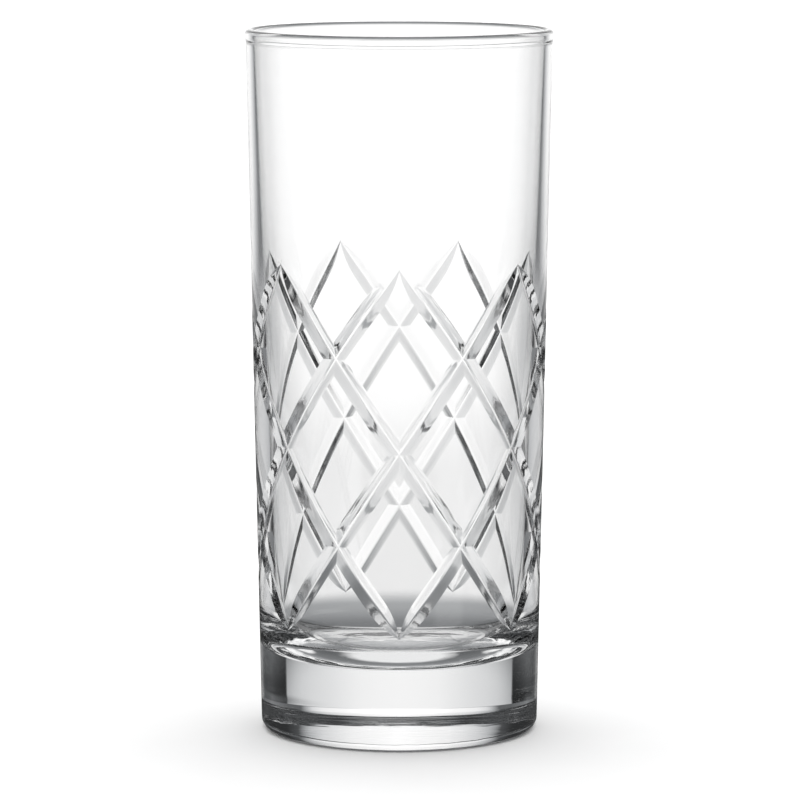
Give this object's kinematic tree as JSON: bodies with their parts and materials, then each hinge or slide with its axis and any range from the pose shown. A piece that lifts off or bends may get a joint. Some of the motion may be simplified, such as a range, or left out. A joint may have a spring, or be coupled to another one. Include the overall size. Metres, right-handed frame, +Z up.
{
  "type": "tumbler glass",
  "caption": "Tall straight-sided drinking glass with a rounded rim, a thick clear base and a lower side cut with criss-cross V grooves.",
  "frame": {"origin": "centre of the foot ring, on the surface that the glass stands on", "axes": "+Z up along the axis of the glass; -Y is the front, where one cut point faces the viewer; +X is the viewer's right"},
  "size_m": [0.068, 0.068, 0.156],
  "materials": {
    "clear_glass": "fire-polished clear soda-lime glass",
    "cut_glass": "clear glass with polished wheel-cut V grooves"
  },
  "bodies": {
    "root": {"rim_bead": "clear_glass", "plain_wall": "clear_glass", "cut_wall": "cut_glass", "heavy_base": "clear_glass"}
  },
  "joints": []
}
